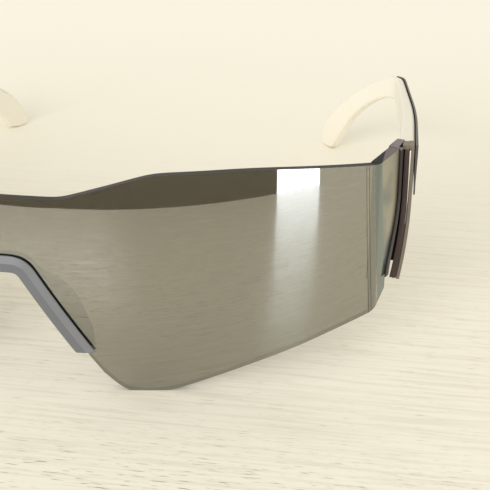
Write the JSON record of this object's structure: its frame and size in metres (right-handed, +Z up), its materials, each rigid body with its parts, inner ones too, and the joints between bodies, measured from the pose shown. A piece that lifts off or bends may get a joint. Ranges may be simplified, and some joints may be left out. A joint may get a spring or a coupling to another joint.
{
  "type": "rimless shield sunglasses",
  "caption": "Rimless wrap sunglasses with one mirrored shield lens, a moulded nose piece and temples that fold on knuckle hinges.",
  "frame": {"origin": "on the table plane, below the middle of the open glasses' box", "axes": "+X to the wearer's left, -Y out of the front of the lens, +Y along the open temples, +Z up"},
  "size_m": [0.1388, 0.1368, 0.0424],
  "materials": {
    "lens": "smoke polycarbonate with a silver-olive mirror coat",
    "nose": "soft satin grey rubber",
    "endpiece": "satin dark brown nylon",
    "steel": "plain stainless steel",
    "arm": "satin cream nylon",
    "skin": "satin slate grey nylon",
    "cap": "taupe pearl lacquer",
    "insert": "satin dark brown nylon"
  },
  "bodies": {
    "front": {"shield_lens": "lens", "nose_piece": "nose", "endpiece_left": "endpiece", "front_leaf_left": "steel", "front_screw_left_1": "steel", "front_screw_left_2": "steel", "pivot_screw_left": "steel", "endpiece_right": "endpiece", "front_leaf_right": "steel", "front_screw_right_1": "steel", "front_screw_right_2": "steel", "pivot_screw_right": "steel"},
    "temple_left": {"temple_arm_left": "arm", "temple_skin_left": "skin", "temple_cap_left": "cap", "temple_insert_left": "insert", "temple_leaf_left": "steel", "temple_screw_left_1": "steel", "temple_screw_left_2": "steel"},
    "temple_right": {"temple_arm_right": "arm", "temple_skin_right": "skin", "temple_cap_right": "cap", "temple_insert_right": "insert", "temple_leaf_right": "steel", "temple_screw_right_1": "steel", "temple_screw_right_2": "steel"}
  },
  "joints": [
    {"name": "temple_hinge_left", "type": "hinge", "parent": "front", "child": "temple_left", "pos_m": [0.06341, -0.0362, 0.0315], "axis": [0, 0, 1], "range_deg": [0, 80]},
    {"name": "temple_hinge_right", "type": "hinge", "parent": "front", "child": "temple_right", "pos_m": [-0.06341, -0.0362, 0.0315], "axis": [0, 0, -1], "range_deg": [0, 70]}
  ]
}
